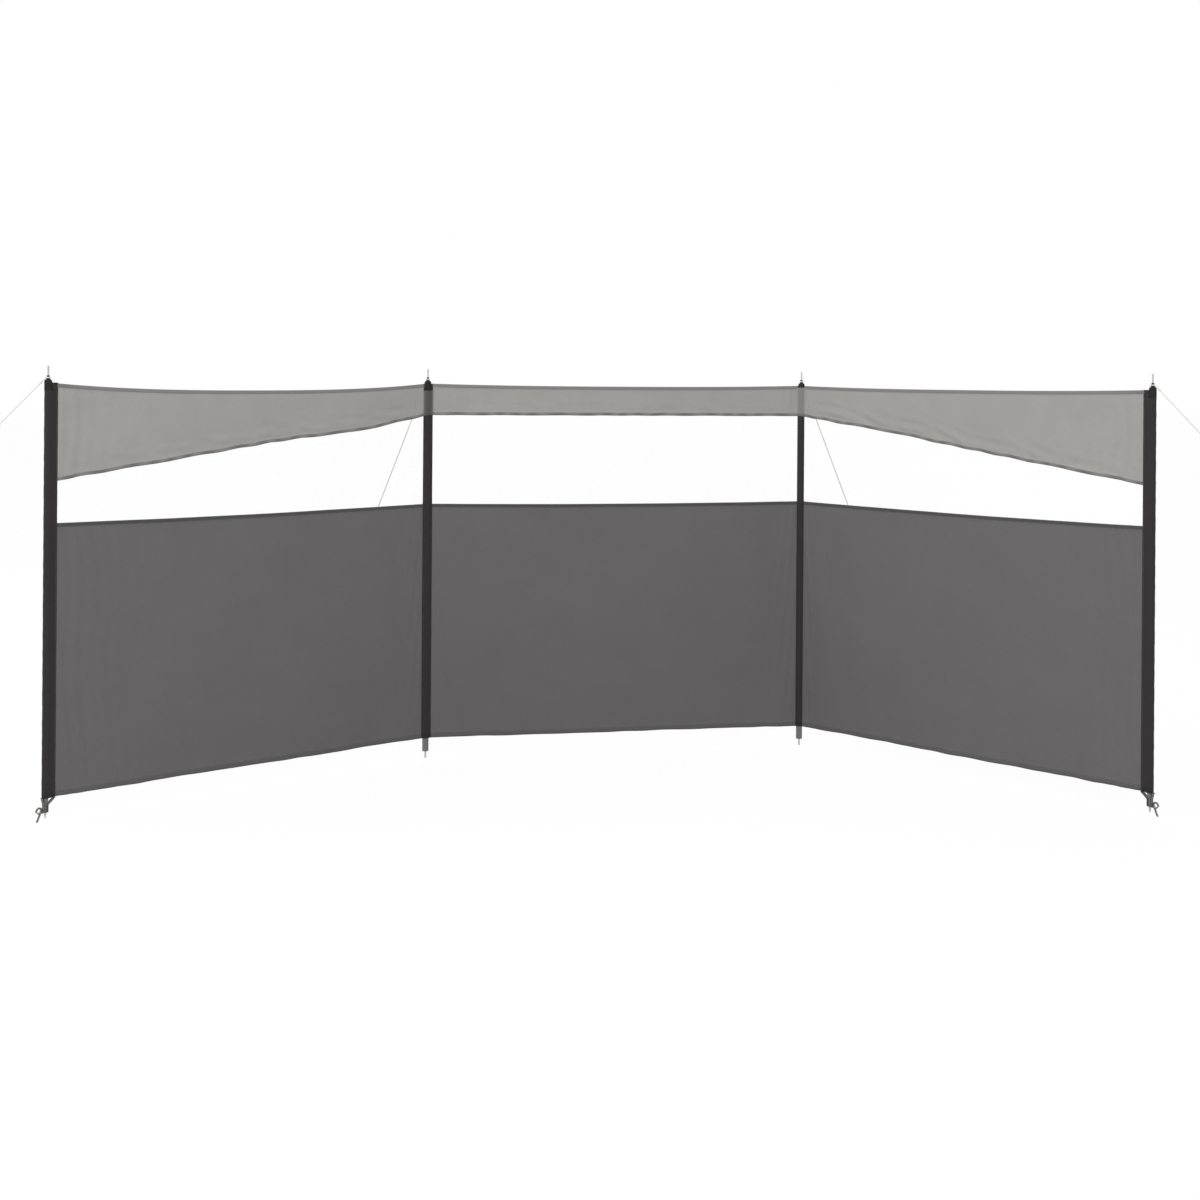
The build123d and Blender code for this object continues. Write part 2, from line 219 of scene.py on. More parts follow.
def surface_normals(points):
    """Unit normals of a grid of points: the cross product of its differences along rows and columns."""
    out = np.cross(np.gradient(points, axis=1), np.gradient(points, axis=0))
    return out / np.maximum(np.linalg.norm(out, axis=2), 1e-12)[..., None]


def arc_points(centre, one, two, radius, start, end, count):
    """Points of an arc: the centre, plus a radius times cosine times one and sine times two."""
    angle = np.linspace(start, end, count)[:, None]
    return centre + radius * (np.cos(angle) * one + np.sin(angle) * two)


def ring_points(centre, one, two, radius):
    """An open list of 32 points round a full circle."""
    return arc_points(centre, one, two, radius, 0, TURN, 33)[:-1]


def smooth_step(low, high, value):
    """0 below low, 1 above high, and three times the square less twice the cube of the share between."""
    share = np.clip((value - low) / (high - low), 0, 1)
    return share * share * (3 - 2 * share)


def wave(turns, phase=0.0):
    """The sine of a number of full turns and a phase in radians."""
    return np.sin(TURN * turns + phase)


def ripples(x, z, seed):
    """Soft uneven folds: a sum of sine waves in seeded directions. Each is as high as its share of all the
    lengths, and its phase swings with a slower diagonal wave."""
    random = np.random.default_rng(seed)
    total = np.zeros(np.broadcast(x, z).shape)
    for length in SLOW_LENGTHS:
        angle, phase = random.uniform(0, np.pi), random.uniform(0, 2 * np.pi)
        swing = 0.8 * wave(0.43 * (z - x) / length)
        total += length * wave((x * np.cos(angle) + z * np.sin(angle)) / length, phase + swing)
    return total * SLOW_FOLDS / sum(SLOW_LENGTHS)


class Shape:
    """Faces gathered for one piece, with a UV map in metres and a shade value at each point."""

    def __init__(self):
        self.points, self.faces, self.uvs, self.shades, self.count = [], [], [], [], 0

    def add(self, points, faces, uvs, shades=0.0):
        """More points and the faces between them, numbered from their own first point."""
        points = np.asarray(points, float).reshape(-1, 3)
        self.points.append(points)
        self.uvs.append(np.asarray(uvs, float).reshape(-1, 2))
        self.shades.append(np.broadcast_to(np.ravel(shades), len(points)))
        self.faces.extend((faces + self.count).tolist())
        self.count += len(points)

    def shell(self, middle, out, half, uvs, shades=0.0):
        """Cloth of a thickness: its middle surface moved out and in by a half, and the rim between them."""
        rows, columns = middle.shape[:2]
        half = np.broadcast_to(half, (rows, columns))[..., None]
        shades = np.broadcast_to(shades, (rows, columns))
        grid = number_grid(rows, columns)
        size = rows * columns
        rim = np.concatenate([grid[0], grid[1:, -1], grid[-1, -2::-1], grid[-2:0:-1, 0], grid[0, :1]])
        sides = np.stack([rim[1:], rim[:-1], rim[:-1] + size, rim[1:] + size], -1)
        self.add(
            np.stack([middle + out * half, middle - out * half]),
            np.concatenate([cells(grid), cells(grid)[:, ::-1] + size, sides]),
            np.stack([uvs, uvs]),
            np.stack([shades, shades]),
        )

    def tube(self, line, radius, sides=8, closed=False):
        """A round strand: a ring of points round each point of a line, square to it. From ring to ring the
        ring's first direction only loses what leans along the line, so the strand doesn't twist."""
        ahead = np.roll(line, -1, 0) - np.roll(line, 1, 0) if closed else np.gradient(line, axis=0)
        ahead /= np.linalg.norm(ahead, axis=1)[:, None]
        side = np.cross(ahead[0], [0.3, 0.2, 0.93])
        firsts = []
        for direction in ahead:
            side = side - direction * side.dot(direction)
            side /= np.linalg.norm(side)
            firsts.append(side)
        seconds = np.cross(ahead, firsts)[:, None]
        firsts = np.array(firsts)[:, None]
        angle = np.linspace(0, TURN, sides + 1)[:, None]
        rings = line[:, None] + radius * (np.cos(angle) * firsts + np.sin(angle) * seconds)
        along = distances(line)
        uvs = metres(angle[:, 0] / TURN, along[:, None])
        if closed:
            rings = np.concatenate([rings, rings[:1]])
            uvs = np.concatenate([uvs, uvs[:1] + [0, along[-1]]])
        self.add(rings, cells(number_grid(*rings.shape[:2]))[:, ::-1], uvs)
        if not closed:
            face = number_grid(1, sides)
            self.add(rings[0][:-1], face[:, ::-1], uvs[0][:-1])
            self.add(rings[-1][:-1], face, uvs[-1][:-1])

    def stitches(self, line, out):
        """A row of lockstitches on a line of points: half-round threads of three rings of four points,
        high in the middle, that dip into the cloth at both ends."""
        along = distances(line)
        starts = np.arange(STITCH_PITCH / 2, along[-1] - STITCH_LENGTH, STITCH_PITCH)
        places = starts[:, None] + np.array([0.0, 0.5, 1.0]) * STITCH_LENGTH
        points = np.stack([np.interp(places, along, line[:, k]) for k in range(3)], -1)
        outs = np.stack([np.interp(places, along, out[:, k]) for k in range(3)], -1)
        outs /= np.linalg.norm(outs, axis=2)[..., None]
        ahead = points[:, 2] - points[:, 0]
        ahead /= np.linalg.norm(ahead, axis=1)[:, None]
        side = np.cross(ahead[:, None], outs)[:, :, None]
        lifts = (np.array([-0.4, 0.9, -0.4]) * STITCH_RADIUS)[:, None]
        centre = (points + outs * lifts)[:, :, None]
        sizes = (np.array([0.6, 1.0, 0.6]) * STITCH_RADIUS)[:, None, None]
        angle = np.linspace(0, np.pi, 4)
        cosine, sine = np.cos(angle)[:, None] * sizes, np.sin(angle)[:, None] * sizes
        rings = centre + side * cosine + outs[:, :, None] * sine
        faces = cells(number_grid(len(starts), 3, 4))[:, [0, 3, 2, 1]]
        self.add(rings, faces, metres(angle / np.pi, places[:, :, None]))


def finish_piece(name, shape, material, replaces=()):
    """The piece itself: its mesh with UV map, shades and material, riding on the one body."""
    mesh = bpy.data.meshes.new(name)
    mesh.from_pydata(np.concatenate(shape.points).tolist(), [], shape.faces)
    uvs = np.concatenate(shape.uvs)
    layer = mesh.uv_layers.new(name="metres")
    corners = np.zeros(len(mesh.loops), np.int32)
    mesh.loops.foreach_get("vertex_index", corners)
    layer.data.foreach_set("uv", uvs[corners].astype(np.float32).ravel())
    shade = mesh.attributes.new("shade", "FLOAT", "POINT")
    shade.data.foreach_set("value", np.concatenate(shape.shades).astype(np.float32))
    mesh.polygons.foreach_set("use_smooth", np.ones(len(mesh.polygons), bool))
    mesh.update()
    piece = bpy.data.objects.new(name, mesh)
    bpy.context.scene.collection.objects.link(piece)
    mesh.materials.append(material)
    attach(piece, "root")
    if replaces:
        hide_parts(*replaces)
    return piece


class Value:
    """A socket of a node tree that can be used in sums. Numbers and sockets mix freely."""

    def __init__(self, tree, socket):
        self.tree, self.socket = tree, socket

    def maths(self, operation, *others):
        """One maths node on this value and the others."""
        return self.tree.node("ShaderNodeMath", {"operation": operation}, [self, *others])

    def __add__(self, other):
        return self.maths("ADD", other)

    def __sub__(self, other):
        return self.maths("SUBTRACT", other)

    def __mul__(self, other):
        return self.maths("MULTIPLY", other)

    def __radd__(self, other):
        return self + other

    def __rsub__(self, other):
        return self * -1.0 + other

    def __rmul__(self, other):
        return self * other

    def sine(self):
        """The sine of a value in radians."""
        return self.maths("SINE")

    def size(self):
        """The value without its sign."""
        return self.maths("ABSOLUTE")

    def root(self):
        """The square root."""
        return self.maths("POWER", 0.5)

    def most(self, other):
        """The larger of two values."""
        return self.maths("MAXIMUM", other)

    def step(self, low, high):
        """0 below low, 1 above high, smooth in between."""
        settings = {"interpolation_type": "SMOOTHSTEP"}
        inputs = {"Value": self, "From Min": low, "From Max": high}
        return self.tree.node("ShaderNodeMapRange", settings, inputs, "Result")


class NodeTree:
    """The nodes of a material or of the world."""

    def __init__(self, owner, result="ShaderNodeOutputMaterial"):
        owner.use_nodes = True
        self.owner, self.nodes, self.links = owner, owner.node_tree.nodes, owner.node_tree.links
        self.nodes.clear()
        self.surface = self.nodes.new(result).inputs["Surface"]

    def node(self, kind, settings=None, inputs=None, output=0):
        """One node: its settings first, then its inputs, by name or in order."""
        made = self.nodes.new(kind)
        for key, value in (settings or {}).items():
            setattr(made, key, value)
        pairs = inputs.items() if isinstance(inputs, dict) else enumerate(inputs or [])
        for key, value in pairs:
            self.feed(made.inputs[key], value)
        return Value(self, made.outputs[output])

    def feed(self, socket, value):
        """A link from a value, or a plain number or colour on the socket itself."""
        if isinstance(value, Value):
            self.links.new(value.socket, socket)
        else:
            socket.default_value = value

    def show(self, shader):
        """The shader goes to the surface. Gives the material or world."""
        self.links.new(shader.socket, self.surface)
        return self.owner

    def uv(self):
        """The UV map in metres."""
        return self.node("ShaderNodeUVMap", {"uv_map": "metres"})

    def place(self):
        """The place in a piece's own axes, in metres."""
        return self.node("ShaderNodeTexCoord", output="Object")

    def shade(self):
        """The shade value of a mesh's points."""
        return self.node("ShaderNodeAttribute", {"attribute_name": "shade"}, output="Fac")

    def split(self, vector):
        """The three parts of a vector."""
        made = self.node("ShaderNodeSeparateXYZ", None, [vector])
        return [Value(self, socket) for socket in made.socket.node.outputs]

    def noise(self, vector, scale, detail, roughness=0.5):
        """Soft noise from 0 to 1, with finer layers by its detail."""
        inputs = {"Vector": vector, "Scale": scale, "Detail": detail, "Roughness": roughness}
        return self.node("ShaderNodeTexNoise", None, inputs)

    def stretched_noise(self, x, y, z, detail):
        """Noise at a place of three parts, each already times its own scale."""
        return self.noise(self.node("ShaderNodeCombineXYZ", None, [x, y, z]), 1.0, detail)

    def mix(self, share, first, second):
        """From the first colour to the second by a share. The node's colours are its inputs 6 and 7, and
        the mixed colour is its output 2."""
        first, second = [(*c, 1.0) if isinstance(c, tuple) else c for c in (first, second)]
        return self.node("ShaderNodeMix", {"data_type": "RGBA"}, {0: share, 6: first, 7: second}, 2)

    def bump(self, height, distance, strength):
        """A normal that leans with the slope of a height."""
        inputs = {"Height": height, "Distance": distance, "Strength": strength}
        return self.node("ShaderNodeBump", None, inputs)

    def principled(self, **inputs):
        """The Principled BSDF, with its sockets' names written with underscores."""
        inputs = {key.replace("_", " "): value for key, value in inputs.items()}
        return self.show(self.node("ShaderNodeBsdfPrincipled", None, inputs))

    def background_rays(self):
        """1 for the rays that look at a background: from the camera, off gloss and through film."""
        names = ("Is Camera Ray", "Is Glossy Ray", "Is Transmission Ray")
        camera_ray, glossy_ray, through_ray = [self.node("ShaderNodeLightPath", output=n) for n in names]
        return camera_ray.most(glossy_ray).most(through_ray)


def tinted(colour, times, plus=0.0):
    """A colour times a factor, plus a little of white."""
    return tuple(c * times + plus for c in colour)


def woven(name, colour, thread, rough, sheen, edge_and_shade_colour):
    """Plain-woven cloth: the product of a sine across and one along for the threads, noise drawn out both
    ways for stripes and slubs, round noise for mottling, and the edge colour where shade is 1. That is the
    edges' own colour, and on the band it is also painted shade: fold shadows along the lower hem and the
    dark sleeves behind the laps."""
    m = NodeTree(bpy.data.materials.new(name))
    u, v, _ = m.split(m.uv())
    over_under = (u * (math.pi / thread)).sine() * (v * (math.pi / thread)).sine()
    threads = over_under * over_under.size().root() * 0.5 + 0.5
    stripes = m.stretched_noise(u * 40.0, v * 900.0, 0.0, 1.0)
    slubs = m.stretched_noise(u * 900.0, v * 40.0, 0.0, 1.0)
    clouds = m.noise(m.uv(), 9.0, 4.0, 0.6)
    light = clouds * 0.10 + stripes * 0.07 + slubs * 0.07 + threads * 0.08 + 0.83
    cloth = m.mix(light.step(0.86, 1.16), tinted(colour, 0.86), tinted(colour, 1.12))
    return m.principled(
        Base_Color=m.mix(m.shade(), cloth, edge_and_shade_colour),
        Roughness=clouds * 0.12 + rough,
        Specular_IOR_Level=0.2,
        Sheen_Weight=sheen,
        Sheen_Roughness=0.4,
        Normal=m.bump(threads + (stripes + slubs) * 0.5, 0.00025, 0.6),
    )


def clear_film(name):
    """Clear flexible film: nearly all light passes. Noise gives a faint haze and soft waves, and the shade
    makes the welded lines milky."""
    m = NodeTree(bpy.data.materials.new(name))
    waves = m.noise(m.uv(), 6.0, 2.0)
    haze = m.noise(m.uv(), 30.0, 3.0)
    return m.principled(
        Base_Color=(0.96, 0.965, 0.96, 1.0),
        Roughness=haze * 0.1 + 0.10,
        Alpha=m.shade() * 0.3 + haze * 0.02 + 0.035,
        Specular_IOR_Level=0.25,
        Normal=m.bump(waves, 0.004, 0.4),
    )


def braided(name, colour, dark):
    """Braided cord: the higher of two sines that wind round it opposite ways, with noise for the fibres."""
    m = NodeTree(bpy.data.materials.new(name))
    u, v, _ = m.split(m.uv())
    one = ((u * 4.0 + v * 125.0) * (2 * math.pi)).sine()
    two = ((u * 4.0 - v * 125.0) * (2 * math.pi)).sine()
    braid = one.most(two) * 0.5 + 0.5
    fibres = m.stretched_noise(u * 60.0, v * 400.0, 0.0, 3.0)
    return m.principled(
        Base_Color=m.mix((braid * 0.7 + fibres * 0.5).step(0.25, 1.0), dark, colour),
        Roughness=fibres * 0.1 + 0.72,
        Sheen_Weight=0.3,
        Normal=m.bump(braid + fibres * 0.3, 0.0006, 0.8),
    )


def webbing(name, colour):
    """Narrow woven tape: a sine across it for the ribs, one along it that leans outwards for the picks."""
    m = NodeTree(bpy.data.materials.new(name))
    u, v, _ = m.split(m.uv())
    ribs = (u * (2 * math.pi / 0.0016)).sine()
    picks = ((v + u.size() * 0.5) * (2 * math.pi / 0.0012)).sine()
    wear = m.noise(m.uv(), 70.0, 4.0)
    height = ribs * 0.6 + picks * 0.4
    return m.principled(
        Base_Color=m.mix((height * 0.2 + wear).step(0.4, 1.1), colour, tinted(colour, 1.9, 0.01)),
        Roughness=wear * 0.1 + 0.78,
        Sheen_Weight=0.4,
        Normal=m.bump(height, 0.0004, 0.8),
    )


def moulded(name, colour, rough, shine=0.5):
    """Moulded plastic: fine noise for the grain of its mould, and coarse noise for rubbed places."""
    m = NodeTree(bpy.data.materials.new(name))
    place = m.place()
    grain = m.noise(place, 1400.0, 2.0)
    clouds = m.noise(place, 60.0, 3.0)
    return m.principled(
        Base_Color=m.mix(clouds.step(0.5, 0.9), colour, tinted(colour, 1.6, 0.02)),
        Roughness=clouds * 0.15 + rough,
        Specular_IOR_Level=shine,
        Normal=m.bump(grain, 0.0001, 0.7),
    )


def steel(name, colour, rough):
    """Drawn or plated steel: noise drawn out upwards for fine lines, and round noise for cloudy plating."""
    m = NodeTree(bpy.data.materials.new(name))
    x, y, z = m.split(m.place())
    lines = m.stretched_noise(x * 1800.0, y * 1800.0, z * 120.0, 3.0)
    clouds = m.noise(m.place(), 90.0, 4.0)
    return m.principled(
        Base_Color=m.mix((clouds * 0.7 + lines * 0.3).step(0.3, 0.75), tinted(colour, 0.7), colour),
        Metallic=1.0,
        Roughness=clouds * 0.2 + lines * 0.08 + rough,
        Normal=m.bump(lines + clouds, 0.0001, 0.5),
    )


PANEL = woven("dark grey panel cloth", (0.120, 0.1155, 0.117), 0.0006, 0.78, 0.1, (0.06, 0.057, 0.058))
# The band's edge colour also serves as painted shade on its laps and as painted fold shadow along its lower
# hem
BAND = woven("light grey band cloth", (0.302, 0.295, 0.285), 0.0006, 0.76, 0.1, (0.075, 0.070, 0.067))
BLACK = woven("black sleeve cloth", (0.027, 0.0245, 0.0252), 0.0007, 0.82, 0.04, (0.016, 0.0155, 0.0155))
THREAD = braided("stitching thread", (0.16, 0.155, 0.15), (0.06, 0.06, 0.06))
FILM = clear_film("clear window film")
ROPE = braided("pale braided guy rope", (0.78, 0.75, 0.72), (0.42, 0.39, 0.37))
WEBBING = webbing("black strap webbing", (0.035, 0.034, 0.034))
POLE_STEEL = steel("painted steel tube", (0.16, 0.16, 0.165), 0.35)
PIN_STEEL = steel("plated steel", (0.62, 0.61, 0.60), 0.28)
PEG_STEEL = steel("plated steel rod", (0.20, 0.20, 0.195), 0.32)
CAP_BLACK = moulded("black moulded plastic", (0.014, 0.0135, 0.0135), 0.5, 0.15)
FOOT_GREY = moulded("dark grey moulded plastic", (0.115, 0.12, 0.115), 0.5)
RUNNER_GREY = moulded("grey moulded plastic", (0.45, 0.45, 0.44), 0.42)

# The CAD nodes that stay get their materials by the ends of their names
NODE_FINISHES = {
    "_pole": POLE_STEEL,
    "_pin": PIN_STEEL,
    "_spike": PIN_STEEL,
    "_peg": PEG_STEEL,
    "_cap": CAP_BLACK,
    "_foot": FOOT_GREY,
    "_runner": RUNNER_GREY,
}
for name, node in nodes.items():
    for ending, finish in NODE_FINISHES.items():
        if name.endswith(ending):
            node.data.materials.clear()
            node.data.materials.append(finish)


def bay_axes(bay):
    """Where a bay starts, its direction, and the way out of it to the front."""
    along = heading(FOLDS[bay])
    return FEET[BAYS[bay][0]], along, np.cross(along, UP)


def off_poles(x, width):
    """0 at a bay's two poles and 1 where both are farther than a width."""
    return smooth_step(0, width, x) * smooth_step(0, width, BAY - x)


def top_line(bay, x):
    """A bay's upper edge: it sags by 1 less a power of the distance from the bay's middle, so it is flat
    there and rises fast to its two poles."""
    share = np.abs(2 * x / BAY - 1)
    return CLOTH_TOP - TOP_SAG[bay] * (1 - np.minimum(share, 1) ** 2.6)


def band_line(bay, x):
    """A band's lower edge: straight from one pole's depth to the other's, plus a sine whose phase swings,
    less a bell-shaped bow."""
    first, last = BAYS[bay]
    share = x / BAY
    ripple = BAND_RIPPLE[bay] * wave(x / 0.17 + 0.3, 1.9 * wave(x / 0.83)) * off_poles(x, 0.1)
    middle, drop = BAND_BOWS[bay]
    bow = drop * np.exp(-((share - middle) / 0.15) ** 2) * off_poles(x, 0.06)
    return CLOTH_TOP - DEPTH[first] * (1 - share) - DEPTH[last] * share + ripple - bow


def panel_line(x):
    """The seam between panel and window, which sags by half a sine between the poles."""
    return PANEL_TOP - PANEL_SAG * np.sin(np.pi * x / BAY)


def bottom_line(x):
    """The panel's lower edge: level, with a low sine that only rises from it."""
    return GAP + BOTTOM_RIPPLE * (1 + wave(x / 0.19, wave(x / 0.7))) * off_poles(x, 0.1)


def relief(bay, x, z):
    """How far a bay's cloth stands out, at x along it and at a height z. It is a sum: a slack belly of half
    a sine along and up, slow folds, puckers and creases that fade away from the band's hem, gathers that
    fade away from the poles, and a frill that fades upwards from the bottom. Each is a sine whose phase
    swings with a slower one, and the length under each x or z is its wave's own."""
    seed = RELIEF_SEEDS[bay]
    first, last = BAYS[bay]
    height = np.clip((z - GAP) / (CLOTH_TOP - GAP), 0, 1)
    free = smooth_step(0.0, 0.12, x - REACH[first]) * smooth_step(0.0, 0.12, BAY - REACH[last] - x)
    total = -BELLY * np.sin(np.pi * x / BAY) * np.sin(np.pi * height) + ripples(x, z, seed) * free
    from_hem = z - band_line(bay, x)
    puckers = wave(x / 0.034 + z / 0.11, 2.2 * wave(x / 0.19, seed))
    total += PUCKERS * puckers * np.exp(-np.abs(from_hem) / 0.03) * free
    patches = 0.5 + 0.5 * wave(x / 0.29, seed) * wave(x / 0.113, 2 * seed)
    creases = wave(x / 0.31 + from_hem / 0.048, 1.5 * wave(x / 0.37, seed))
    total += CREASES[bay] * creases * patches * np.exp(-((from_hem - 0.035) / 0.035) ** 2) * free
    for pole, away in ((first, x), (last, BAY - x)):
        beside = smooth_step(0.0, 0.02, away - REACH[pole])
        if "end" in pole:
            gathers = wave(away / 0.052 + z / 2.2, 1.5 * wave(z / 0.6, seed))
            total += END_GATHERS * gathers * np.exp(-away / 0.13) * beside
        else:
            gathers = wave(away / 0.036 + z / 0.35, seed)
            total += MIDDLE_GATHERS * gathers * np.exp(-away / 0.06) * beside
    frill = wave(x / 0.145, 1.3 * wave(x / 0.61, seed))
    return total + FRILL * frill * np.exp(-(z - GAP) / 0.07) * free


def on_bay(bay, x, z):
    """Points of a bay's cloth: along the bay by x, up by z and out by its relief."""
    origin, along, out = bay_axes(bay)
    x, z = np.broadcast_arrays(x, z)
    return origin + along * x[..., None] + UP * z[..., None] + out * relief(bay, x, z)[..., None]


def lay_cloth(shape, bay, x, z, half, shades):
    """A bay's cloth above each x, at rows of heights z, with both sides."""
    points = on_bay(bay, x, z)
    shape.shell(points, surface_normals(points), half, metres(x, z), shades)


def hemmed_rows(low, high, low_hem, high_hem, step):
    """Heights of a cloth's rows above each x: three rows over each hem, which is equally wide all along,
    and between the hems an even spread from the one fold to the other."""
    bottom, top = low + low_hem + HEM_CREASE, high - high_hem - HEM_CREASE
    share = np.linspace(0, 1, max(4, int((top - bottom).max() / step)))[:, None]
    return np.concatenate([
        [low, low + low_hem / 2, low + low_hem],
        bottom * (1 - share) + top * share,
        [high - high_hem, high - high_hem / 2, high],
    ])


def hemmed_values(rows, low_hem, plain, high_hem):
    """One value for the rows of each hem and one for the rows between them."""
    values = np.full(rows.shape, float(plain))
    values[:3], values[-3:] = low_hem, high_hem
    return values


def hem_thickness(rows):
    """Half the thickness of a cloth's rows, more over its hems."""
    return hemmed_values(rows, HEM_HALF, CLOTH_HALF, HEM_HALF)


def seam(shape, bay, x, z, sides=(1, -1)):
    """Stitches along a line of heights, on the front of the cloth, its back or both."""
    out = bay_axes(bay)[2]
    for side in sides:
        line = on_bay(bay, x, z) + out * side * HEM_HALF
        shape.stitches(line, np.broadcast_to(out * side, line.shape))


def painted_fold_shadow_share(bay, x):
    """Painted shadow of folds along the band's lower hem, from 0 to 1 along the bay: a sine whose phase
    swings.
    """
    phase = {"left": 0.4, "middle": 2.0, "right": 4.1}[bay]
    return 0.5 + 0.5 * wave(x / 0.085, 2.1 * wave(x / 0.47, phase))


def leave_angle(pole):
    """Where a sleeve's flat side leaves its round pole: a right angle less the angle of its taper."""
    return math.pi / 2 - math.asin((SLEEVE - SEAM_HALF) / (REACH[pole] - SEAM_FLAT))


def add_lap(band, bay, pole, front):
    """A band's lap in front of half of a middle sleeve. In plan it goes from the band over the seam and
    then round the pole, a little outside the sleeve, to the middle between the two bays."""
    toward_bay = heading(FOLDS[bay] + (0.0 if front < 0 else 180.0))
    side = np.cross(UP, toward_bay)
    reach = REACH[pole]
    fold = abs(FOLDS["left"] if pole == "left_middle" else FOLDS["right"])
    angle = np.linspace(leave_angle(pole), math.radians((180 - fold) / 2), 9)
    over_seam = [
        (reach + LAP_REACH, 0.0007),
        (reach + 0.0008, 0.0012),
        (reach - SEAM_FLAT, SEAM_HALF + LAP_AWAY),
    ]
    round_pole = (SLEEVE + LAP_AWAY) * np.stack([np.cos(angle), np.sin(angle)], -1)
    plan = np.concatenate([over_seam, round_pole])
    low = CLOTH_TOP - DEPTH[pole] - plan[:, 0] * BAND_SLOPE[bay]
    high = np.full(len(low), LAP_TOPS[pole])
    z = hemmed_rows(low, high, BAND_HEM, LAP_TOP_HEM, LAP_ROW_STEP)
    points = FEET[pole] + toward_bay * plan[:, :1] + side * (front * plan[:, 1:]) + UP * z[..., None]
    # Over the sleeve the lap's colour goes towards the band's edge colour: painted shade of the dark sleeve
    # behind it
    on_sleeve = smooth_step(reach + LAP_REACH, reach - LAP_REACH, plan[:, 0])
    shade = LAP_PAINTED_SHADES[pole] * on_sleeve * np.ones_like(z)
    shade[:3] = np.maximum(shade[:3], LAP_HEM_SHADE)
    if front > 0:
        points, shade = points[:, ::-1], shade[:, ::-1]
    uvs = metres(np.arange(len(plan)) * 0.003, z)
    band.shell(points, surface_normals(points), CLOTH_HALF, uvs, shade)


for bay, (first, last) in BAYS.items():
    start, end = REACH[first] - CLOTH_TUCK, BAY - REACH[last] + CLOTH_TUCK
    x = np.linspace(start, end, int((end - start) / COLUMN_STEP) + 1)
    inner = x[1:-1]
    thread = Shape()

    # The lower panel, with a turned-up hem and a bound seam to the window
    panel = Shape()
    z = hemmed_rows(bottom_line(x), panel_line(x), PANEL_HEM, PANEL_SEAM, PANEL_ROW_STEP)
    lay_cloth(panel, bay, x, z, hem_thickness(z), hemmed_values(z, PANEL_HEM_SHADE, 0, PANEL_SEAM_SHADE))
    piece = finish_piece(bay + "_panel_cloth", panel, PANEL, [bay + "_lower_panel"])
    seam(thread, bay, inner, bottom_line(inner) + PANEL_HEM - STITCH_INSET)
    seam(thread, bay, inner, panel_line(inner) - PANEL_SEAM + STITCH_INSET)
    seam(thread, bay, inner, panel_line(inner) - WINDOW_STITCH_INSET, (1,))

    # The clear window, tucked behind the seams above and below it, with a welded line near each pole
    window = Shape()
    low, high = panel_line(x) - FILM_TUCK, band_line(bay, x) + FILM_TUCK
    share = np.linspace(0, 1, 26)[:, None]
    weld = sum(np.exp(-((away - WELD_DISTANCE) / WELD_WIDTH) ** 2) for away in (x, BAY - x))
    lay_cloth(window, bay, x, low * (1 - share) + high * share, FILM_HALF, WELD_SHADE * weld)
    piece = finish_piece(bay + "_window_film", window, FILM, [bay + "_window"])
    area = float((high - low).mean() * (end - start))
    float((high - low).max())

    # The top band, with darker hems, and its laps in front of the middle sleeves
    band = Shape()
    low, high = band_line(bay, x), top_line(bay, x)
    z = hemmed_rows(low, high, BAND_HEM, BAND_TOP_HEM, BAND_ROW_STEP)
    end_pole = np.exp(-x / 0.05) * (bay == "left") + np.exp((x - BAY) / 0.05) * (bay == "right")
    # The lower hem's darker tone, plus painted fold shadow that varies along it
    low_shade = BAND_HEM_SHADE + PAINTED_FOLD_SHADOW * painted_fold_shadow_share(bay, x)
    shade = hemmed_values(z, low_shade, 0, BAND_TOP_SHADE + END_POLE_SHADE * end_pole)
    lay_cloth(band, bay, x, z, hem_thickness(z), shade)
    seam(thread, bay, inner, band_line(bay, inner) + BAND_HEM - STITCH_INSET)
    seam(thread, bay, inner, top_line(bay, inner) - BAND_TOP_HEM + STITCH_INSET)
    for pole, front in ((first, -1), (last, 1)):
        if "middle" in pole:
            add_lap(band, bay, pole, front)
    piece = finish_piece(bay + "_band_cloth", band, BAND, [bay + "_top_band"])
    area = float((high - low).mean() * (end - start))
    float((high - low).max()) + 0.002
    finish_piece(bay + "_bay_stitching", thread, THREAD)


def sleeve_flank(pole, angle, side, count):
    """Half of a sleeve's section towards one bay, in plan: two points at its seam, then a straight slope to
    where it leaves the round pole. Also the angle of that place round the pole."""
    leave = leave_angle(pole)
    seam_end = np.array([REACH[pole] - SEAM_FLAT, SEAM_HALF])
    round_end = np.array([SLEEVE * math.cos(leave), SLEEVE * math.sin(leave)])
    share = np.linspace(0, 1, count)[1:, None]
    slope = seam_end * (1 - share) + round_end * share
    points = np.concatenate([[(REACH[pole], SEAM_TIP_HALF), seam_end], slope])
    forward = heading(angle)
    plan = forward * points[:, :1] + np.cross(UP, forward) * (side * points[:, 1:])
    return plan, math.radians(angle) + side * leave


def sleeve_sections(pole):
    """A sleeve's section in plan: one strip from seam to seam round an end pole, or two strips, before and
    behind a middle pole. Each goes down one flank, round the pole and up another flank."""
    angles = SLEEVE_HEADINGS[pole]
    if len(angles) == 1:
        one, start = sleeve_flank(pole, angles[0], 1, 10)
        two, stop = sleeve_flank(pole, angles[0], -1, 10)
        arcs = [(one, np.linspace(start, stop + TURN, 22)[1:-1], two)]
    else:
        arcs = []
        for side in (1, -1):
            one, start = sleeve_flank(pole, angles[1], side, 10)
            two, stop = sleeve_flank(pole, angles[0], -side, 10)
            gap = (stop - start) % TURN
            if gap > math.pi:
                gap -= TURN
            arcs.append((one, start + np.linspace(0, gap, 12)[1:-1], two))
    return [
        np.concatenate([one, SLEEVE * np.stack([np.cos(arc), np.sin(arc), 0 * arc], -1), two[::-1]])
        for one, arc, two in arcs
    ]


